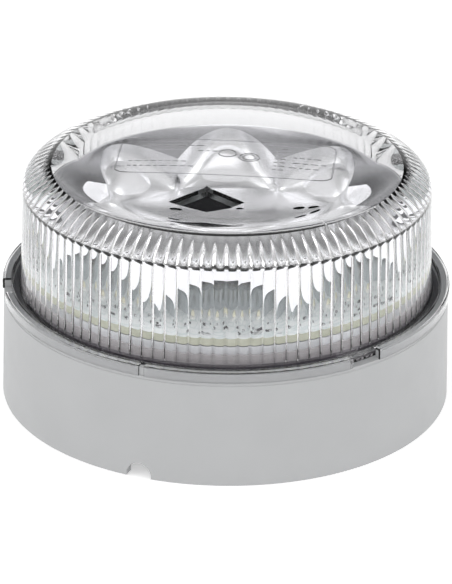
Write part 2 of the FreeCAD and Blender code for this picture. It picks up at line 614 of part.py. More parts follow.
# ---- write every piece ----
def main():
    os.makedirs("parts", exist_ok=True)
    save("base_housing", base_housing())
    save("threaded_inserts", [tube(INSERT_BORE_R, INSERT_R, *INSERT_Z, centre) for centre in MOUNT_POINTS])
    save("mounting_gasket", tube(*GASKET_R, GASKET_LOW_Z, FLOOR_Z))
    save("cable_grommet", cable_grommet())
    save("vent_plug", vent_plug())

    save("board_standoffs", [standoff(centre) for centre in STANDOFF_POINTS])
    driver_holes = [(STANDOFF_POINTS, SCREW_R + FIT), (PIN_POINTS, PIN_R + FIT), ([ORIGIN], DRIVER_EYE_R)]
    save("driver_board", round_board(DRIVER_R, DRIVER_Z, BOARD_T, driver_holes))
    save("driver_screws", [screw(centre, DRIVER_TOP, FLOOR_Z + FLOOR_T / 2) for centre in STANDOFF_POINTS])
    save("capacitors", [capacitor(at(40.0, az)) for az in (-110.0, -92.0, -74.0)])
    save("inductors", [inductor(at(38.0, az)) for az in (75.0, 100.0)])
    save("power_transistors", [transistor(at(24.0, az), az) for az in (-60.0, -30.0, 60.0, 90.0)])
    save("controller_chip", controller_chip())
    save("supply_connector", supply_connector())
    save("fuse_cartridge", fuse_cartridge())
    save("fuse_clips", fuse_clips())

    save("inner_carrier", inner_carrier())
    save("carrier_screws", [screw(centre, CARRIER_Z[1], CARRIER_TIP_Z) for centre in CARRIER_POINTS])
    save("heat_sink", heat_sink())
    save("heat_sink_screws", [screw(centre, CARRIER_Z[0], SINK_TIP_Z) for centre in SINK_POINTS])
    save("thermal_pad", thermal_pad())
    save("led_board", led_board())
    save("led_board_screws", [screw(centre, LED_BOARD_TOP, SINK_Z[0] + FIT) for centre in BOARD_SCREW_POINTS])
    save("led_packages", [led_package(az) for az in led_azimuths()])
    save("led_domes", [led_dome(az) for az in led_azimuths()])
    save("board_chips", board_chips())
    save("board_plug", board_plug())
    save("link_header", link_header())
    save("link_pins", holes(PIN_POINTS, PIN_R, DRIVER_Z - PIN_TAIL, LED_BOARD_TOP + PLUG_H - 1.5 * PLUG_SKIN))
    save("reflector", reflector())
    tip_z = WELL_Z - REFLECTOR_SKIN - REFLECTOR_TIP_GAP
    screws = [screw(centre, SINK_Z[0], tip_z, SCREW_R, LOW_HEAD_R) for centre in REFLECTOR_POINTS]
    save("reflector_screws", screws)

    save("lens_seal", lens_seal())
    save("lens_cover", lens_cover())


main()
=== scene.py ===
import json
import math
import random

import bmesh
import bpy
from mathutils import Matrix, Vector


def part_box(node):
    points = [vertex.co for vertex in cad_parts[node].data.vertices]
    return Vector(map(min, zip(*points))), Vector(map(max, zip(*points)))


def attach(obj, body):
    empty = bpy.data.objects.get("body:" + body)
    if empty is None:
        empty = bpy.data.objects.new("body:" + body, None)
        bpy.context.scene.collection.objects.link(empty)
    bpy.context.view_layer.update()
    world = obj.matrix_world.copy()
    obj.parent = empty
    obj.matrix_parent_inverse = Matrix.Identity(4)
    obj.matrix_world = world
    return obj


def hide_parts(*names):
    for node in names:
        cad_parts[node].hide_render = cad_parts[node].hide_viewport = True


# A round strobe beacon: grey base, clear fluted lens, petal reflector over a round board.
# Metres, +Z up, the front is -Y. Azimuth 0 points to the front and grows towards +X.

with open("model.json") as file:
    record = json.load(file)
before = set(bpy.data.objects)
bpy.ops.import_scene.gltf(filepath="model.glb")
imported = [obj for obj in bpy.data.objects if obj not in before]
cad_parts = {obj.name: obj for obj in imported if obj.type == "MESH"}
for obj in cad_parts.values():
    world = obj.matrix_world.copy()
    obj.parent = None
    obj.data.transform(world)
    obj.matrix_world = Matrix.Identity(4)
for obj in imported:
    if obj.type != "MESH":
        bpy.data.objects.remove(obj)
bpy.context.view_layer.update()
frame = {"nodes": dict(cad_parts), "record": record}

MM = 0.001

# ---- places read from the frame ----
base_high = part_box("base_housing")[1]
lens_low, lens_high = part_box("lens_cover")
rim_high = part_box("reflector")[1]
board_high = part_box("led_board")[1]

UPSTAND_H = 2.9 * MM          # the housing's ring that the lens flange caps
BASE_R = base_high.x
BASE_TOP = base_high.z - UPSTAND_H
LENS_TOP = lens_high.z
FLANGE_R = lens_high.x
SKIRT_Z = lens_low.z
RIM_R = rim_high.x
RIM_Z = rim_high.z
BOARD_TOP = board_high.z

# ---- lens ----
FLANGE_TOP = BASE_TOP + 3.9 * MM
FLANGE_IN_R = 74.0 * MM
CAP_LOW = BASE_TOP + 0.06 * MM
CAP_SLOT_R = (74.6 * MM, 76.8 * MM)
CAP_SLOT_Z = BASE_TOP + 3.1 * MM
CAP_ROUND = 0.6 * MM          # radius of the cap's upper outer edge
CAP_FOOT_ROUND = 0.25 * MM    # and of its lower one
CAP_EDGE = 0.2 * MM           # chamfer at the top of the slot
LIP_ROUND = 0.45 * MM         # radius where the flange turns down to the web
WEB_BOTTOM = BASE_TOP + 0.5 * MM
WEB_TOP = BASE_TOP + 2.1 * MM
SKIRT_OUT_R = 71.6 * MM
SKIRT_IN_R = 69.4 * MM
WALL_FOOT_R = 71.3 * MM
WALL_TOP_R = 70.4 * MM
WALL_T = 2.4 * MM
FOOT_SHADE_Z = WEB_TOP + 1.0 * MM  # painted shade: the lens is tinted dark below this
FOOT_SHADE_MARGIN = 0.1 * MM
SHOULDER_R = 50.0 * MM
SHOULDER_H = 9.6 * MM
CROWN_H = 2.0 * MM
SHOULDER_Z = LENS_TOP - CROWN_H - SHOULDER_H
CONE_FOOT = (68.0 * MM, LENS_TOP - 12.4 * MM)
CONE_TOP = (60.0 * MM, LENS_TOP - 5.2 * MM)
FLUTES = 108
FLUTE_DEPTH = 0.75 * MM
FLUTE_STEPS = 10
CONE_RIB = 1.15 * MM
CONE_RISE = 0.5               # share of the cone over which its ribs grow
CONE_FALL = 0.82              # share at which their rounded ends begin
CONE_STATIONS = (0.05, 0.12, 0.2, 0.32, 0.45, 0.58, 0.7, 0.8, 0.87, 0.92, 0.96, 0.985, 1.0)
FLUTE_RUN_IN = 1.4            # mm over which the flutes reach full depth below the cone
NOTCH_AZ = 37.5
NOTCH_HALF = 4.3
SLIT_AZ = -21.0
SLIT_HALF = 0.7
LUG_AZ = 94.5
LUG_HALF = 6.0
LUG_R = (71.3 * MM, 73.4 * MM)
LUG_Z = (BASE_TOP - 6.5 * MM, BASE_TOP - 4.5 * MM)
LUG_EDGE = 0.3 * MM
LUG_STEPS = 12
END_CLEARANCE = 0.02          # degrees kept free of flute stations beside a notch's end

# ---- reflector ----
PETALS = 8
HALF_PETAL = 180.0 / PETALS
WELL_Z = RIM_Z - 17.0 * MM
PLATE_T = 1.6 * MM
WELL_FLAT_R = 43.0 * MM
WELL_CORNER_R = 46.0 * MM
WEB_IN_Z = RIM_Z - 6.0 * MM
CUSP_R = 55.5 * MM            # foot of the skirt's cone between two arches
CUSP_Z = RIM_Z - 20.0 * MM
ARCH_TOP_Z = RIM_Z - 6.0 * MM
ARCH_DROP = 13.5 * MM         # from the middle of an arch to its ends
SCOOP_START = 18.0            # slope, in degrees, at which a petal leaves the mirror floor
CUP_BACK_R = 44.8 * MM        # deepest point of the cup behind an arch
CUP_WALL = 1.0 * MM
CUP_STEPS = 12
CUP_FOOT_Z = BOARD_TOP + 0.1 * MM
RIM_LAND = 0.9 * MM
RIM_EDGE = 0.6 * MM
SKIRT_LEAN = (RIM_R - CUSP_R) / (RIM_Z - CUSP_Z)
WEB_SLOPE = (RIM_Z - WEB_IN_Z) / (RIM_R - WELL_CORNER_R)
ARCH_MARGIN = 1.8 * MM        # from the top of a petal to the rim
REFLECTOR_STEPS = 720
SCOOP_STEPS = 18
WINDOW = Vector((-7.2 * MM, 30.4 * MM))
WINDOW_SIDE = 19.0 * MM
FLOOR_HOLES = (
    (-18.2 * MM, 18.9 * MM, 2.3 * MM),
    (4.5 * MM, 24.5 * MM, 1.5 * MM),
    (25.7 * MM, 20.2 * MM, 2.2 * MM),
    (31.2 * MM, 19.3 * MM, 2.2 * MM),
)
HOLE_STEPS = 40
CUT_REACH = 4 * MM


# ---- mesh helpers ----
WELD = 1e-6


def polar(radius, azimuth, z=0.0):
    """Point from its distance to the axis and its azimuth in degrees."""
    angle = math.radians(azimuth - 90.0)
    return Vector((radius * math.cos(angle), radius * math.sin(angle), z))


def make_piece(name, mesh, material, body, sharp=40.0):
    """Object from a mesh, smooth shaded with its sharp edges kept, riding on a body."""
    piece = bpy.data.objects.new(name, mesh)
    bpy.context.scene.collection.objects.link(piece)
    for face in mesh.polygons:
        face.use_smooth = True
    mesh.set_sharp_from_angle(angle=math.radians(sharp))
    mesh.materials.append(material)
    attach(piece, body)
    return piece


def loop_mesh(name, columns):
    """Closed mesh from profile loops, one per azimuth: columns is a list of (azimuth, [(r, z), ...])."""
    count = len(columns[0][1])
    points = [polar(r, azimuth, z) for azimuth, profile in columns for r, z in profile]
    faces = []
    for i in range(len(columns)):
        here = i * count
        there = (i + 1) % len(columns) * count
        for j in range(count):
            k = (j + 1) % count
            faces.append((here + j, there + j, there + k, here + k))
    mesh = bpy.data.meshes.new(name)
    mesh.from_pydata(points, [], faces)
    tidy_mesh(mesh)
    return mesh


def tidy_mesh(mesh):
    """Welds doubled points, drops slivers and turns the faces outward."""
    work = bmesh.new()
    work.from_mesh(mesh)
    bmesh.ops.remove_doubles(work, verts=work.verts, dist=WELD)
    bmesh.ops.dissolve_degenerate(work, edges=work.edges, dist=WELD)
    bmesh.ops.recalc_face_normals(work, faces=work.faces)
    work.to_mesh(mesh)
    work.free()
    mesh.update()


def ellipse_points(centre_r, foot_z, width, height, steps):
    """Quarter ellipse from the outside up to the top, without its first point."""
    turns = [math.pi / 2 * i / steps for i in range(1, steps + 1)]
    return [(centre_r + width * math.cos(t), foot_z + height * math.sin(t)) for t in turns]


def crown_points(edge_r, edge_z, rise, steps):
    """Shallow dome from its edge to the axis, without its first point."""
    stations = [1.0 - i / steps for i in range(1, steps + 1)]
    return [(edge_r * s, edge_z + rise * (1.0 - s * s)) for s in stations]


# ---- material helpers ----
SKIRT_BAND = 0.12 * MM        # how near a face lies to the skirt's cone or the web to take the skirt's painted glow or the web's painted shade
WEB_BAND = 0.1 * MM
OUTWARD_FROM = 2.0 * MM       # radius times the outward share of the normal
HOLE_EDGE_DROP = 0.03 * MM
HOLE_EDGE_MARGIN = 1.0 * MM


class Paint:
    """Node material with one Principled shader, and short ways to add detail to it."""

    def __init__(self, name, color, roughness, metallic=0.0, **sockets):
        self.material = bpy.data.materials.new(name)
        self.material.use_nodes = True
        self.tree = self.material.node_tree
        self.shader = self.tree.nodes["Principled BSDF"]
        self.shader.inputs["Base Color"].default_value = (*color, 1.0)
        self.shader.inputs["Roughness"].default_value = roughness
        self.shader.inputs["Metallic"].default_value = metallic
        for socket, value in sockets.items():
            self.shader.inputs[socket.replace("_", " ")].default_value = value

    def node(self, kind, **values):
        made = self.tree.nodes.new(kind)
        for key, value in values.items():
            if key in made.inputs:
                made.inputs[key].default_value = value
            else:
                setattr(made, key, value)
        return made

    def link(self, source, target):
        self.tree.links.new(source, target)

    def position(self):
        return self.node("ShaderNodeTexCoord").outputs["Object"]

    def height(self):
        split = self.node("ShaderNodeSeparateXYZ")
        self.link(self.position(), split.inputs[0])
        return split.outputs["Z"]

    def from_axis(self):
        """The place with its height left out, and its distance from the axis."""
        flat = self.node("ShaderNodeVectorMath", operation="MULTIPLY")
        flat.inputs[1].default_value = (1.0, 1.0, 0.0)
        self.link(self.position(), flat.inputs[0])
        radius = self.node("ShaderNodeVectorMath", operation="LENGTH")
        self.link(flat.outputs[0], radius.inputs[0])
        return flat.outputs[0], radius.outputs["Value"]

    def mixed(self, share, first, second):
        """One colour where the share is 0 and the other where it is 1."""
        made = self.node("ShaderNodeMix", data_type="RGBA")
        self.link(share, made.inputs["Factor"])
        for source, target in ((first, made.inputs[6]), (second, made.inputs[7])):
            if isinstance(source, bpy.types.NodeSocket):
                self.link(source, target)
            else:
                target.default_value = (*source, 1.0)
        return made.outputs[2]

    def noise(self, scale, detail=4.0):
        made = self.node("ShaderNodeTexNoise", Scale=scale, Detail=detail)
        self.link(self.position(), made.inputs["Vector"])
        return made.outputs["Fac"]

    def bump(self, height, strength, distance):
        made = self.node("ShaderNodeBump", Strength=strength, Distance=distance)
        self.link(height, made.inputs["Height"])
        self.link(made.outputs["Normal"], self.shader.inputs["Normal"])

    def ramp(self, factor, stops):
        made = self.node("ShaderNodeValToRGB")
        elements = made.color_ramp.elements
        while len(elements) < len(stops):
            elements.new(0.5)
        for element, (place, color) in zip(elements, stops):
            element.position = place
            element.color = (*color, 1.0)
        self.link(factor, made.inputs["Fac"])
        return made.outputs["Color"]

    def maths(self, operation, *values):
        made = self.node("ShaderNodeMath", operation=operation)
        for socket, value in zip(made.inputs, values):
            if isinstance(value, bpy.types.NodeSocket):
                self.link(value, socket)
            else:
                socket.default_value = value
        return made.outputs[0]

    def spread(self, factor, low, high):
        made = self.node("ShaderNodeMapRange")
        made.inputs["To Min"].default_value = low
        made.inputs["To Max"].default_value = high
        self.link(factor, made.inputs["Value"])
        return made.outputs["Result"]

    def color_from(self, socket):
        self.link(socket, self.shader.inputs["Base Color"])

    def roughness_from(self, socket):
        self.link(socket, self.shader.inputs["Roughness"])


def speckled(name, color, roughness, metallic=0.0, grain=900.0, depth=0.02, shift=0.08, **sockets):
    """Moulded, cast or drawn surface: slight colour drift, uneven gloss and a fine grain."""
    paint = Paint(name, color, roughness, metallic, **sockets)
    drift = paint.noise(60.0)
    dark = [channel * (1.0 - shift) for channel in color]
    light = [min(1.0, channel * (1.0 + shift)) for channel in color]
    paint.color_from(paint.ramp(drift, [(0.3, dark), (0.7, light)]))
    paint.roughness_from(paint.spread(paint.noise(220.0), roughness * 0.85, min(1.0, roughness * 1.15)))
    paint.bump(paint.noise(grain, 2.0), 0.3, depth * MM)
    return paint.material


def clear_plastic(name, tint, shaded_foot=False):
    """Clear moulding: refracts what the camera sees and lets the lamps' light straight through."""
    paint = Paint(name, tint, 0.0, Transmission_Weight=1.0, IOR=1.5)
    # painted shade: the foot of the lens is tinted dark where it runs down into the housing
    if shaded_foot:
        paint.color_from(foot_shade_tint(paint, tint))
    paint.bump(paint.noise(90.0, 2.0), 0.15, 0.02 * MM)
    output = paint.tree.nodes["Material Output"]
    path = paint.node("ShaderNodeLightPath")
    through = paint.node("ShaderNodeBsdfTransparent")
    through.inputs["Color"].default_value = (0.92, 0.93, 0.94, 1.0)
    mix = paint.node("ShaderNodeMixShader")
    paint.link(path.outputs["Is Shadow Ray"], mix.inputs[0])
    paint.link(paint.shader.outputs[0], mix.inputs[1])
    paint.link(through.outputs[0], mix.inputs[2])
    paint.link(mix.outputs[0], output.inputs["Surface"])
    return paint.material


def foot_shade_tint(paint, tint):
    """Clear above a level; below it, where the wall runs down into the housing, a painted shade: a dark tint
    stands in for the shade there.
    """
    low = paint.maths("LESS_THAN", paint.height(), FOOT_SHADE_Z)
    inner = paint.maths("LESS_THAN", paint.from_axis()[1], SKIRT_OUT_R + FOOT_SHADE_MARGIN)
    return paint.ramp(paint.maths("MULTIPLY", low, inner), [(0.0, tint), (1.0, (0.30, 0.29, 0.32))])


def mirror_coat():
    """Vacuum-coated mirror inside. Outside, the skirt is painted bright white and glows, as a painted
    reflection of the bright floor. The web is painted darker as painted shade, and the cups are painted
    darker upwards as painted shade.
    """
    paint = Paint("mirror_coat", (0.88, 0.88, 0.89), 0.2, 1.0)
    height = paint.height()
    flat, radius = paint.from_axis()
    facing = paint.node("ShaderNodeVectorMath", operation="DOT_PRODUCT")
    paint.link(flat, facing.inputs[0])
    paint.link(paint.node("ShaderNodeTexCoord").outputs["Normal"], facing.inputs[1])

    cone_r = paint.maths("MULTIPLY_ADD", height, SKIRT_LEAN, RIM_R - SKIRT_LEAN * RIM_Z)
    skirt = paint.maths("LESS_THAN", apart(paint, radius, cone_r), SKIRT_BAND)
    outward = paint.maths("GREATER_THAN", facing.outputs["Value"], OUTWARD_FROM)
    cup = paint.maths("MULTIPLY", outward, paint.maths("SUBTRACT", 1.0, skirt))
    # painted shade: the outward backs of the cups are painted darker towards their top
    risen = paint.maths("SUBTRACT", height, BOARD_TOP)
    shade = paint.ramp(paint.maths("DIVIDE", risen, ARCH_TOP_Z - BOARD_TOP), [
        (0.35, (0.72, 0.74, 0.76)), (0.85, (0.10, 0.10, 0.11))])

    web_z = paint.maths("MULTIPLY_ADD", radius, WEB_SLOPE, RIM_Z - WEB_SLOPE * RIM_R)
    web = paint.maths("LESS_THAN", apart(paint, height, web_z), WEB_BAND)
    # painted reflection and painted shade: the skirt is painted bright white for the bright floor it
    # reflects, and the web is painted darker
    glow_shade_tone = paint.maths("MULTIPLY_ADD", skirt, 0.5, paint.maths("MULTIPLY", web, -0.5))
    plain = paint.ramp(paint.maths("ADD", glow_shade_tone, 0.5), [
        (0.0, (0.70, 0.70, 0.72)), (0.5, (0.96, 0.96, 0.97)), (1.0, (0.96, 0.96, 0.97))])
    below = paint.maths("LESS_THAN", height, WELL_Z - HOLE_EDGE_DROP)
    inside = paint.maths("LESS_THAN", radius, WELL_FLAT_R - HOLE_EDGE_MARGIN)
    holes = paint.maths("MULTIPLY", below, inside)
    paint.color_from(paint.mixed(holes, paint.mixed(cup, plain, shade), (0.03, 0.03, 0.03)))

    # painted glow: the skirt is no lamp, yet it is made plain white and emits light
    paint.link(paint.spread(skirt, 1.0, 0.0), paint.shader.inputs["Metallic"])
    paint.link(skirt, paint.shader.inputs["Emission Strength"])
    paint.shader.inputs["Emission Color"].default_value = (0.30, 0.30, 0.31, 1.0)
    paint.roughness_from(paint.spread(paint.noise(140.0), 0.20, 0.28))
    paint.bump(paint.noise(70.0, 2.0), 0.25, 0.04 * MM)
    return paint.material


def apart(paint, first, second):
    """Distance between two heights or two radii."""
    return paint.maths("ABSOLUTE", paint.maths("SUBTRACT", first, second))


def board_laminate():
    """White solder mask on top, with faint tracks, and a bare yellow-green edge."""
    paint = Paint("white_board", (0.80, 0.86, 0.83), 0.35)
    tracks = paint.node("ShaderNodeTexVoronoi", Scale=260.0, feature="DISTANCE_TO_EDGE")
    paint.link(paint.position(), tracks.inputs["Vector"])
    mask = paint.ramp(tracks.outputs["Distance"], [(0.04, (0.74, 0.80, 0.79)), (0.10, (0.90, 0.93, 0.92))])
    edge = paint.ramp(paint.noise(400.0), [(0.3, (0.50, 0.51, 0.38)), (0.7, (0.62, 0.63, 0.50))])
    facing = paint.node("ShaderNodeSeparateXYZ")
    paint.link(paint.node("ShaderNodeTexCoord").outputs["Normal"], facing.inputs[0])
    paint.color_from(paint.mixed(paint.maths("GREATER_THAN", facing.outputs["Z"], 0.5), edge, mask))
    paint.bump(tracks.outputs["Distance"], 0.2, 0.03 * MM)
    return paint.material


MATERIALS = {
    "housing": speckled("housing_grey", (0.395, 0.40, 0.405), 0.42, grain=1500.0, depth=0.012, shift=0.02),
    "brass": speckled("turned_brass", (0.78, 0.60, 0.30), 0.30, 1.0),
    "foam": speckled("closed_foam", (0.05, 0.05, 0.055), 0.90, grain=1200.0, depth=0.15),
    "rubber": speckled("black_rubber", (0.06, 0.06, 0.065), 0.55, grain=1100.0),
    "black_plastic": speckled(
        "black_plastic", (0.010, 0.010, 0.012), 0.8, grain=1400.0, Specular_IOR_Level=0.1),
    "green_board": speckled("green_board", (0.04, 0.22, 0.10), 0.35, grain=700.0),
    "screws": speckled("zinc_steel", (0.62, 0.62, 0.63), 0.28, 1.0),
    "can_metal": speckled("drawn_can", (0.72, 0.72, 0.75), 0.30, 1.0),
    "ferrite": speckled("ferrite", (0.09, 0.09, 0.10), 0.70, grain=1600.0),
    "white_plastic": speckled("white_plastic", (0.84, 0.84, 0.80), 0.40),
    "fuse_glass": clear_plastic("fuse_glass", (0.95, 0.97, 0.97)),
    "spring_brass": speckled("spring_brass", (0.72, 0.62, 0.42), 0.32, 1.0),
    "heat_sink": speckled("cast_aluminium", (0.70, 0.71, 0.73), 0.42, 1.0, grain=1300.0, depth=0.05),
    "thermal_pad": speckled("silicone_pad", (0.50, 0.52, 0.57), 0.70),
    "grey_plastic": speckled("grey_plastic", (0.44, 0.41, 0.42), 0.45, grain=1400.0),
    "white_board": board_laminate(),
    "phosphor": speckled("phosphor_dome", (0.90, 0.87, 0.68), 0.20, Coat_Weight=0.8),
    "chips": speckled("chip_ceramic", (0.05, 0.05, 0.055), 0.50),
    "gold_pins": speckled("gold_pins", (0.85, 0.66, 0.30), 0.25, 1.0),
    "mirror_coat": mirror_coat(),
    "clear_lens": clear_plastic("clear_lens", (0.962, 0.962, 0.969), shaded_foot=True),
}


def paint_cad_nodes():
    """Every CAD piece takes the material of its slot."""
    for entry in frame["record"]["subparts"]:
        mesh = frame["nodes"][entry["node"]].data
        mesh.materials.clear()
        mesh.materials.append(MATERIALS[entry["material_slot"]])


# ---- lens ----
GAPS = [(NOTCH_AZ + turn, NOTCH_HALF) for turn in (0.0, 120.0, 240.0)] + [(SLIT_AZ, SLIT_HALF)]


def round_corner(r, z, radius, turn_from, steps=4):
    """Quarter circle about (r, z), from an angle in quarter turns, in the outline's direction."""
    angles = [math.pi / 2 * (turn_from + i / steps) for i in range(steps + 1)]
    return [(r + radius * math.cos(t), z + radius * math.sin(t)) for t in angles]


# cap over the housing's ring: its outline from the inside of the slot round to the top
CAP_PROFILE = [
    (CAP_SLOT_R[1] - CAP_EDGE, CAP_SLOT_Z), (CAP_SLOT_R[1], CAP_SLOT_Z - CAP_EDGE), (CAP_SLOT_R[1], CAP_LOW),
    *round_corner(FLANGE_R - CAP_FOOT_ROUND, CAP_LOW + CAP_FOOT_ROUND, CAP_FOOT_ROUND, -1.0),
    *round_corner(FLANGE_R - CAP_ROUND, FLANGE_TOP - CAP_ROUND, CAP_ROUND, 0.0, 6),
]
CAP_START = 4                 # place of the slot's inner corner in the lens profile


def flute(azimuth):
    """Height of the rounded rib between two grooves, from 0 to 1."""
    place = azimuth * FLUTES / 360.0 % 1.0
    return 4.0 * place * (1.0 - place)


def in_gap(azimuth):
    """Whether an azimuth lies in a notch or the slit of the cap."""
    return any(abs((azimuth - centre + 180.0) % 360.0 - 180.0) < half for centre, half in GAPS)


def lens_profile(azimuth):
    """Closed outline of the lens without its cap, from the skirt's foot round the outside and back."""
    profile = [
        (SKIRT_IN_R, SKIRT_Z), (SKIRT_OUT_R, SKIRT_Z), (SKIRT_OUT_R, WEB_BOTTOM),
        (CAP_SLOT_R[0], WEB_BOTTOM), (CAP_SLOT_R[0], CAP_SLOT_Z), (CAP_SLOT_R[0], FLANGE_TOP),
        *round_corner(FLANGE_IN_R + LIP_ROUND, FLANGE_TOP - LIP_ROUND, LIP_ROUND, 1.0, 5),
        (FLANGE_IN_R, WEB_TOP),
        (WALL_FOOT_R + 0.3 * MM, WEB_TOP), (WALL_FOOT_R + 0.05 * MM, WEB_TOP + 0.25 * MM),
        (WALL_FOOT_R, WEB_TOP + 0.6 * MM), (WALL_TOP_R, SHOULDER_Z),
    ]
    profile += ellipse_points(SHOULDER_R, SHOULDER_Z, WALL_TOP_R - SHOULDER_R, SHOULDER_H, 24)
    profile += crown_points(SHOULDER_R, SHOULDER_Z + SHOULDER_H, CROWN_H, 8)

    inner_rise = LENS_TOP - WALL_T - CONE_TOP[1]
    profile += crown_points(*CONE_TOP, inner_rise, 10)[::-1]
    profile.append(CONE_TOP)
    profile += cone_points(flute(azimuth))
    drop = FLUTE_DEPTH * flute(azimuth)
    for down in (0.4, 0.8, FLUTE_RUN_IN):
        share = down / FLUTE_RUN_IN
        profile.append((CONE_FOOT[0] - drop * math.sin(math.pi / 2 * share), CONE_FOOT[1] - down * MM))
    foot_r = WALL_FOOT_R - WALL_T
    profile += [
        (foot_r - drop, WEB_TOP + 1.0 * MM), (foot_r - 0.5 * drop, WEB_TOP + 0.3 * MM), (foot_r, WEB_TOP)]
    return profile


def cone_points(rib):
    """Inner shoulder with its own ribs: they grow down the cone and end rounded at the wall's top."""
    run_r, run_z = CONE_FOOT[0] - CONE_TOP[0], CONE_TOP[1] - CONE_FOOT[1]
    length = math.hypot(run_r, run_z)
    points = []
    for share in CONE_STATIONS:
        rise = math.sin(math.pi / 2 * min(1.0, share / CONE_RISE))
        fall = math.sqrt(1.0 - (max(0.0, share - CONE_FALL) / (1.0 - CONE_FALL)) ** 2)
        drop = CONE_RIB * rib * rise * fall
        points.append((CONE_TOP[0] + run_r * share - drop * run_z / length,
                       CONE_TOP[1] - run_z * share - drop * run_r / length))
    return points


def lens_azimuths():
    """Even steps across each flute, and the ends of the notches and the slit."""
    pitch = 360.0 / FLUTES
    stations = {
        round(pitch * (i + step / FLUTE_STEPS), 6) for i in range(FLUTES) for step in range(FLUTE_STEPS)}
    ends = {round((centre + side * half) % 360.0, 6) for centre, half in GAPS for side in (-1, 1)}
    stations = {station for station in stations if all(abs(station - end) > END_CLEARANCE for end in ends)}
    return sorted(stations | ends)


def outline_verts(work, azimuth, outline):
    return [work.verts.new(polar(r, azimuth, z)) for r, z in outline]


def lens_mesh():
    """The lens as one closed skin; the cap's outline is left out, and its ends closed, in the gaps."""
    azimuths = lens_azimuths()
    count = len(azimuths)
    work = bmesh.new()
    rings = [outline_verts(work, azimuth, lens_profile(azimuth)) for azimuth in azimuths]
    caps = [outline_verts(work, azimuth, CAP_PROFILE) for azimuth in azimuths]
    steps = [(azimuths[(i + 1) % count] - azimuths[i]) % 360.0 for i in range(count)]
    spans = [in_gap((azimuth + step / 2.0) % 360.0) for azimuth, step in zip(azimuths, steps)]
    for i in range(count):
        here, there = rings[i], rings[(i + 1) % count]
        for j in range(len(here)):
            k = (j + 1) % len(here)
            if j != CAP_START or spans[i]:
                work.faces.new((here[j], there[j], there[k], here[k]))
        around = [here[CAP_START]] + caps[i] + [here[CAP_START + 1]]
        beyond = [there[CAP_START]] + caps[(i + 1) % count] + [there[CAP_START + 1]]
        if not spans[i]:
            for j in range(len(around) - 1):
                work.faces.new((around[j], beyond[j], beyond[j + 1], around[j + 1]))
        if spans[i] != spans[i - 1]:
            work.faces.new(around)
    bmesh.ops.delete(work, geom=[vert for vert in work.verts if not vert.link_faces], context="VERTS")
    add_lugs(work)
    mesh = bpy.data.meshes.new("lens_shell")
    work.to_mesh(mesh)
    work.free()
    tidy_mesh(mesh)
    return mesh


def add_lugs(work):
    """Three bayonet lugs round the skirt, each rooted in it."""
    outline = [
        (LUG_R[0], LUG_Z[0]), (LUG_R[1] - LUG_EDGE, LUG_Z[0]), (LUG_R[1], LUG_Z[0] + LUG_EDGE),
        (LUG_R[1], LUG_Z[1] - LUG_EDGE), (LUG_R[1] - LUG_EDGE, LUG_Z[1]), (LUG_R[0], LUG_Z[1]),
    ]
    for centre in (LUG_AZ, LUG_AZ + 120.0, LUG_AZ + 240.0):
        stations = [centre - LUG_HALF + LUG_HALF * i / (LUG_STEPS / 2) for i in range(LUG_STEPS + 1)]
        rings = [outline_verts(work, azimuth, outline) for azimuth in stations]
        for here, there in zip(rings, rings[1:]):
            for j in range(len(outline)):
                k = (j + 1) % len(outline)
                work.faces.new((here[j], there[j], there[k], here[k]))
        work.faces.new(rings[0])
        work.faces.new(rings[-1])


def make_lens():
    lens = make_piece("lens_shell", lens_mesh(), MATERIALS["clear_lens"], "lens")
    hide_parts("lens_cover")


# ---- reflector ----
def petal_place(azimuth):
    """Angle from the nearest petal's axis, in degrees."""
    return (azimuth + HALF_PETAL) % (2 * HALF_PETAL) - HALF_PETAL


def well_edge(turn):
    """Radius of the mirror floor's edge: straight sides with a slight scallop."""
    side = WELL_FLAT_R / math.cos(math.radians(turn))
    corner = abs(turn) / HALF_PETAL
    return side + (WELL_CORNER_R - WELL_FLAT_R / math.cos(math.radians(HALF_PETAL))) * corner ** 2


def arch_edge(turn):
    """Radius where a petal's back meets the web: a parabola in plan, from corner to corner."""
    half = WELL_CORNER_R * math.sin(math.radians(HALF_PETAL))
    start = WELL_CORNER_R * math.cos(math.radians(HALF_PETAL))
    rise = RIM_R - ARCH_MARGIN - start
    low, high = WELL_CORNER_R * 0.98, RIM_R
    across, along = math.sin(math.radians(turn)), math.cos(math.radians(turn))
    for _ in range(30):
        middle = (low + high) / 2
        if middle * along < start + rise * (1.0 - (middle * across / half) ** 2):
            low = middle
        else:
            high = middle
    return low


def web_height(radius):
    """Height of the sloping web between the petals."""
    share = (radius - WELL_CORNER_R) / (RIM_R - WELL_CORNER_R)
    return WEB_IN_Z + (RIM_Z - WEB_IN_Z) * share


def petal_wall(foot_r, foot_z, top_r, top_z, steps):
    """Scoop: it leaves the floor at a shallow angle and steepens up to the web."""
    start = math.radians(SCOOP_START)
    points = []
    for i in range(steps + 1):
        t = start + (math.pi / 2 - start) * i / steps
        out = (math.sin(t) - math.sin(start)) / (1.0 - math.sin(start))
        up = (math.cos(start) - math.cos(t)) / math.cos(start)
        points.append((foot_r + (top_r - foot_r) * out, foot_z + (top_z - foot_z) * up))
    return points


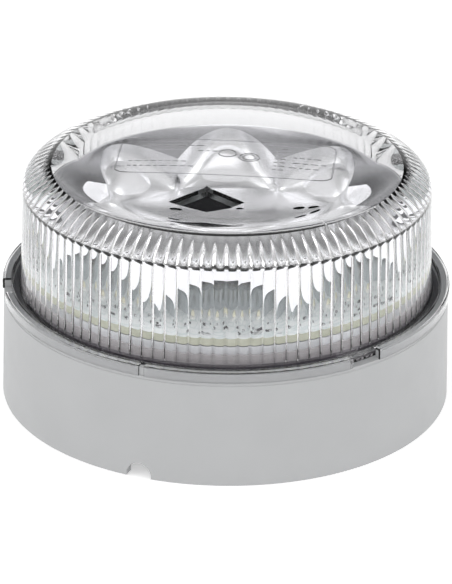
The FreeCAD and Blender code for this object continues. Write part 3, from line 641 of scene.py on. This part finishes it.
def reflector_profile(azimuth):
    """Closed outline: the mirror floor, scoop, web and rim, then the skirt or cup, and the underside."""
    turn = petal_place(azimuth)
    foot_r = well_edge(turn)
    top_r = max(arch_edge(turn), foot_r + 0.05 * MM)
    profile = [(0.0, WELL_Z), (foot_r * 0.5, WELL_Z), (foot_r - 0.5 * MM, WELL_Z)]
    profile += petal_wall(foot_r, WELL_Z + 0.05 * MM, top_r, web_height(top_r), SCOOP_STEPS)
    land = RIM_R - RIM_LAND
    for share in (0.1, 0.4, 0.7, 1.0):
        r = top_r + (land - top_r) * share
        profile.append((r, web_height(r)))
    profile += [(RIM_R - 0.5 * MM, RIM_Z), (RIM_R - 0.1 * MM, RIM_Z - 0.15 * MM), (RIM_R, RIM_Z - RIM_EDGE)]

    share = min(1.0, abs(turn) / (HALF_PETAL * 0.985))
    mouth_z = ARCH_TOP_Z - ARCH_DROP * share ** 2
    for part in (0.5, 1.0):
        z = RIM_Z - RIM_EDGE + (mouth_z - RIM_Z + RIM_EDGE) * part
        profile.append((RIM_R - SKIRT_LEAN * (RIM_Z - z), z))
    mouth_r = RIM_R - SKIRT_LEAN * (RIM_Z - mouth_z)
    back_r = CUP_BACK_R + (CUSP_R - 0.6 * MM - CUP_BACK_R) * share ** 4
    back_r = min(back_r, mouth_r - 0.3 * MM)
    cup_h = mouth_z - 0.4 * MM - CUP_FOOT_Z
    for i in range(1, CUP_STEPS + 1):
        t = math.pi / 2 * i / CUP_STEPS
        profile.append((mouth_r + (back_r - mouth_r) * math.sin(t), CUP_FOOT_Z + cup_h * math.cos(t)))
    under = WELL_Z - PLATE_T
    inner_r = back_r - CUP_WALL
    profile += [(inner_r, CUP_FOOT_Z), (inner_r, under), (foot_r * 0.5, under), (0.0, under)]
    return profile


def make_reflector():
    azimuths = [360.0 * i / REFLECTOR_STEPS for i in range(REFLECTOR_STEPS)]
    mesh = loop_mesh("petal_reflector", [(azimuth, reflector_profile(azimuth)) for azimuth in azimuths])
    piece = make_piece("petal_reflector", mesh, MATERIALS["mirror_coat"], "base", 35.0)
    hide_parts("reflector")
    cut(piece, [square_cutter()] + [round_cutter(*hole) for hole in FLOOR_HOLES])


def square_cutter():
    """The window: a square turned by 45 degrees."""
    reach = WINDOW_SIDE / math.sqrt(2.0)
    corners = ((0.0, -reach), (reach, 0.0), (0.0, reach), (-reach, 0.0))
    return prism([WINDOW + Vector(corner) for corner in corners])


def round_cutter(x, y, radius):
    return prism([Vector((x + radius * math.cos(t), y + radius * math.sin(t))) for t in turns(HOLE_STEPS)])


def turns(count):
    """Evenly spaced angles once round a circle."""
    return [2 * math.pi * i / count for i in range(count)]


def prism(outline):
    """Upright cutter with this outline, through the mirror floor."""
    bottom, top = WELL_Z - CUT_REACH, WELL_Z + CUT_REACH
    count = len(outline)
    points = [(p.x, p.y, bottom) for p in outline] + [(p.x, p.y, top) for p in outline]
    faces = [tuple(range(count))[::-1], tuple(range(count, 2 * count))]
    faces += [(i, (i + 1) % count, count + (i + 1) % count, count + i) for i in range(count)]
    mesh = bpy.data.meshes.new("cutter")
    mesh.from_pydata(points, [], faces)
    tidy_mesh(mesh)
    return mesh


def cut(piece, cutters):
    """Takes the cutters' shapes out of a piece for good."""
    for mesh in cutters:
        tool = bpy.data.objects.new("cutter", mesh)
        bpy.context.scene.collection.objects.link(tool)
        change = piece.modifiers.new("cut", "BOOLEAN")
        change.operation = "DIFFERENCE"
        change.solver = "EXACT"
        change.object = tool
        with bpy.context.temp_override(object=piece, active_object=piece):
            bpy.ops.object.modifier_apply(modifier=change.name)
        bpy.data.objects.remove(tool)
        bpy.data.meshes.remove(mesh)


# ---- small parts on the board ----
CHIP_COUNT = 26
CHIP_RING = (54.5 * MM, 63.6 * MM)
CHIP_LENGTHS = (0.9, 1.2, 1.6, 2.0)
CHIP_SPACING = 2.0 * MM
CHIP_HEIGHT = 0.55 * MM
CHIP_END_HEIGHT = 0.6 * MM
CHIP_SEED = 7
BLOCK_BEVEL = 0.12            # of a block's height, from 0.8 of it upwards


def chip_points(centre, azimuth, length, width, height):
    """Corners of one chamfered block standing on the board."""
    angle = math.radians(azimuth)
    across = Vector((math.cos(angle), math.sin(angle), 0.0))
    along = Vector((-across.y, across.x, 0.0))
    points = []
    for shrink, z in ((0.0, 0.0), (0.0, 0.8 * height), (BLOCK_BEVEL * height, height)):
        for side, end in ((-1, -1), (1, -1), (1, 1), (-1, 1)):
            spot = centre + across * side * (length / 2 - shrink) + along * end * (width / 2 - shrink)
            points.append((spot.x, spot.y, BOARD_TOP + z))
    return points


CHIP_FACES = [(3, 2, 1, 0), (8, 9, 10, 11)] + [
    (ring + i, ring + (i + 1) % 4, ring + 4 + (i + 1) % 4, ring + 4 + i)
    for ring in (0, 4) for i in range(4)]


def blocks_mesh(name, blocks):
    """Many chip_points blocks as one mesh."""
    points, faces = [], []
    for block in blocks:
        start = len(points)
        points += chip_points(*block)
        faces += [tuple(start + corner for corner in face) for face in CHIP_FACES]
    mesh = bpy.data.meshes.new(name)
    mesh.from_pydata(points, [], faces)
    tidy_mesh(mesh)
    return mesh


def make_chips():
    """Small chips scattered round each group of diodes, each with silver ends."""
    spots = random.Random(CHIP_SEED)
    bodies, ends = [], []
    for petal in range(PETALS):
        taken = []
        while len(taken) < CHIP_COUNT:
            azimuth = 2 * HALF_PETAL * petal + spots.uniform(-HALF_PETAL, HALF_PETAL)
            centre = polar(spots.uniform(*CHIP_RING), azimuth)
            length = spots.choice(CHIP_LENGTHS) * MM
            turn = azimuth + spots.choice((0.0, 90.0))
            if any((centre - other).length < CHIP_SPACING for other in taken):
                continue
            taken.append(centre)
            bodies.append((centre, turn, length * 0.62, length * 0.55, CHIP_HEIGHT))
            angle = math.radians(turn)
            reach = Vector((math.cos(angle), math.sin(angle), 0.0)) * length * 0.39
            for side in (-1, 1):
                ends.append((centre + reach * side, turn, length * 0.22, length * 0.6, CHIP_END_HEIGHT))
    body_mesh, end_mesh = blocks_mesh("chip_bodies", bodies), blocks_mesh("chip_ends", ends)
    chips = make_piece("chip_bodies", body_mesh, MATERIALS["chips"], "base", 20.0)
    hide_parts("board_chips")
    make_piece("chip_ends", end_mesh, MATERIALS["screws"], "base", 20.0)


# ---- raised marks on the lens top ----
LABEL_CENTRE = Vector((-0.5 * MM, -2.6 * MM))
LABEL_TURN = math.radians(-5.0)
LABEL_SIZE = (74.0, 30.0)     # along the label's own axes, in mm, as are the corner, rows and columns
LABEL_CORNER = 4.0
DASH_ROWS = (                 # from x, to x and y
    (-33.0, -14.0, -5.5), (-33.0, -12.0, -9.5), (-31.0, -8.0, 8.5),
    (23.0, 32.0, 2.0), (23.0, 33.0, -2.5), (22.0, 32.0, -6.5), (-10.0, -3.0, 4.0),
)
DASH_COLUMN_X = (16.5, 19.0)
DASH_COLUMN_Y = (9.0, 6.0, 3.0, 0.0, -3.0, -6.0, -9.0)
DASH_COLUMN_SEED = 8
DASH_LENGTHS = (1.2, 1.8, 2.6)
DASH_SPACE = 0.9
RING_CENTRE = (8.0, 0.0)
RING_RADII = (2.2 * MM, 3.4 * MM)
GATE_RADIUS = 3.0 * MM
RING_STEPS = 36
LINE_WIDTH = 0.55 * MM
LINE_HEIGHT = 0.22 * MM
LINE_ROOT = 0.06 * MM


def crown_height(spot):
    """Height of the lens top over a point in plan."""
    return SHOULDER_Z + SHOULDER_H + CROWN_H * (1.0 - (spot.length / SHOULDER_R) ** 2)


def label_spot(x, y):
    """From the label's own axes, in millimetres, to the lens."""
    turn = Matrix.Rotation(LABEL_TURN, 2)
    return LABEL_CENTRE + turn @ Vector((x * MM, y * MM))


def ridge(work, path, closed):
    """Raised line with sloping sides that follows the top of the lens."""
    rings = []
    for i, spot in enumerate(path):
        before = path[i - 1] if i or closed else path[i]
        after = path[(i + 1) % len(path)] if i + 1 < len(path) or closed else path[i]
        along = (after - before).normalized()
        side = Vector((-along.y, along.x)) * LINE_WIDTH / 2
        ring = []
        for share, lift in ((-1.0, -LINE_ROOT), (-0.5, LINE_HEIGHT), (0.5, LINE_HEIGHT), (1.0, -LINE_ROOT)):
            place = spot + side * share
            ring.append(work.verts.new((place.x, place.y, crown_height(place) + lift)))
        rings.append(ring)
    pairs = list(zip(rings, rings[1:])) + ([(rings[-1], rings[0])] if closed else [])
    for here, there in pairs:
        for j in range(4):
            k = (j + 1) % 4
            work.faces.new((here[j], there[j], there[k], here[k]))
    if not closed:
        work.faces.new(rings[0])
        work.faces.new(rings[-1])


def ring_path(centre, radius):
    return [centre + Vector((radius * math.cos(t), radius * math.sin(t))) for t in turns(RING_STEPS)]


def frame_path():
    """Rectangle with rounded corners round the label."""
    inner_x, inner_y = (size / 2 - LABEL_CORNER for size in LABEL_SIZE)
    path = []
    for quarter, (sx, sy) in enumerate(((1, 1), (-1, 1), (-1, -1), (1, -1))):
        for step in range(7):
            t = math.pi / 2 * (quarter + step / 6.0)
            path.append(label_spot(sx * inner_x + LABEL_CORNER * math.cos(t),
                                   sy * inner_y + LABEL_CORNER * math.sin(t)))
    return path


def dash_row(x_from, x_to, y, seed):
    """Row of plain dashes that stands for a line of small print."""
    lengths = random.Random(seed)
    x, dashes = x_from, []
    while x < x_to:
        length = lengths.choice(DASH_LENGTHS)
        dashes.append([label_spot(x, y), label_spot(x + length, y)])
        x += length + DASH_SPACE
    return dashes


def make_label():
    """Frame, rings and dashes as one raised piece on the lens."""
    work = bmesh.new()
    ridge(work, frame_path(), True)
    ridge(work, ring_path(Vector((0.0, 0.0)), GATE_RADIUS), True)
    for radius in RING_RADII:
        ridge(work, ring_path(label_spot(*RING_CENTRE), radius), True)
    rows = [(*row, seed) for seed, row in enumerate(DASH_ROWS, 1)]
    rows += [(*DASH_COLUMN_X, y, DASH_COLUMN_SEED) for y in DASH_COLUMN_Y]
    for row in rows:
        for path in dash_row(*row):
            ridge(work, path, False)
    mesh = bpy.data.meshes.new("lens_marks")
    work.to_mesh(mesh)
    work.free()
    tidy_mesh(mesh)
    make_piece("lens_marks", mesh, MATERIALS["clear_lens"], "lens")


# ---- studio ----
CAMERA_AWAY = 15.2            # in base radii, as is its height
CAMERA_UP = 7.51
CAMERA_PITCH = 0.4349         # radians below the horizon
CAMERA_ROLL = 0.0115
CAMERA_LENS = 231.34932        # mm, on a sensor of the next width
SENSOR_MM = 36.0
FLOOR_HALF = 6.0
FLOOR_DROP = 0.0002
FRONT_SKY = [(0.0, 0.9), (0.3, 1.0), (0.7, 0.95), (0.9, 0.55), (1.0, 0.55)]
BACK_SKY = [(0.0, 0.9), (0.26, 0.6), (0.34, 0.03), (0.60, 0.03), (0.72, 0.5), (1.0, 0.55)]
BACK_BLEND = (0.5, 0.8)       # over this share of the way to the back, one sky gives way to the other
SOFTBOXES = (                 # name, place, size and power
    ("soft_top", (-0.1, -0.2, 1.1), (0.7, 0.7), 1.6),
    ("soft_left", (-1.0, -0.5, 0.6), (0.4, 0.8), 1.2),
    ("soft_right", (1.0, -0.4, 0.6), (0.4, 0.8), 1.2),
)


def make_camera():
    data = bpy.data.cameras.new("camera")
    data.sensor_width = SENSOR_MM
    data.lens = CAMERA_LENS
    data.clip_end = 20.0
    camera = bpy.data.objects.new("camera", data)
    tilt = Matrix.Rotation(math.pi / 2 - CAMERA_PITCH, 4, "X") @ Matrix.Rotation(CAMERA_ROLL, 4, "Z")
    camera.matrix_world = Matrix.Translation((0.0, -CAMERA_AWAY * BASE_R, CAMERA_UP * BASE_R)) @ tilt
    bpy.context.scene.collection.objects.link(camera)
    bpy.context.scene.camera = camera


def make_floor():
    mesh = bpy.data.meshes.new("floor")
    corners = [(x * FLOOR_HALF, y * FLOOR_HALF, 0) for x, y in ((-1, -1), (1, -1), (1, 1), (-1, 1))]
    mesh.from_pydata(corners, [], [(0, 1, 2, 3)])
    floor = bpy.data.objects.new("floor", mesh)
    floor.location.z = -FLOOR_DROP
    paint = Paint("pale_floor", (0.93, 0.93, 0.93), 0.9, Emission_Color=(1, 1, 1, 1), Emission_Strength=0.35)
    mesh.materials.append(paint.material)
    bpy.context.scene.collection.objects.link(floor)


def make_world():
    """White studio: bright in front and overhead, with a grey wall behind the object."""
    world = bpy.data.worlds.new("studio")
    world.use_nodes = True
    bpy.context.scene.world = world
    tree = world.node_tree
    shade = tree.nodes["Background"]
    place = tree.nodes.new("ShaderNodeTexCoord")
    split = tree.nodes.new("ShaderNodeSeparateXYZ")
    tree.links.new(place.outputs["Generated"], split.inputs[0])
    front = sky_ramp(tree, split.outputs["Z"], FRONT_SKY)
    back = sky_ramp(tree, split.outputs["Z"], BACK_SKY)
    behind = tree.nodes.new("ShaderNodeMapRange")
    behind.interpolation_type = "SMOOTHSTEP"
    behind.inputs["From Min"].default_value, behind.inputs["From Max"].default_value = BACK_BLEND
    tree.links.new(split.outputs["Y"], behind.inputs["Value"])
    mix = tree.nodes.new("ShaderNodeMix")
    mix.data_type = "RGBA"
    tree.links.new(behind.outputs["Result"], mix.inputs["Factor"])
    tree.links.new(front, mix.inputs[6])
    tree.links.new(back, mix.inputs[7])
    tree.links.new(mix.outputs[2], shade.inputs["Color"])
    shade.inputs["Strength"].default_value = 1.1


def sky_ramp(tree, height, stops):
    """Grey level by the height of the direction, from the horizon to overhead."""
    ramp = tree.nodes.new("ShaderNodeValToRGB")
    tree.links.new(height, ramp.inputs["Fac"])
    elements = ramp.color_ramp.elements
    while len(elements) < len(stops):
        elements.new(0.5)
    for element, (spot, level) in zip(elements, stops):
        element.position = spot
        element.color = (level, level, level, 1.0)
    return ramp.outputs["Color"]


def add_softbox(name, place, size, power):
    """Soft rectangular lamp aimed at the middle of the object."""
    data = bpy.data.lights.new(name, "AREA")
    data.shape = "RECTANGLE"
    data.size, data.size_y = size
    data.energy = power
    lamp = bpy.data.objects.new(name, data)
    lamp.location = place
    aim = Vector((0.0, 0.0, LENS_TOP / 2)) - Vector(place)
    lamp.rotation_euler = aim.to_track_quat("-Z", "Y").to_euler()
    bpy.context.scene.collection.objects.link(lamp)


def make_studio():
    make_world()
    make_floor()
    for softbox in SOFTBOXES:
        add_softbox(*softbox)
    bpy.context.scene.view_settings.view_transform = "Standard"


paint_cad_nodes()
make_lens()
make_reflector()
make_chips()
make_label()
make_camera()
make_studio()
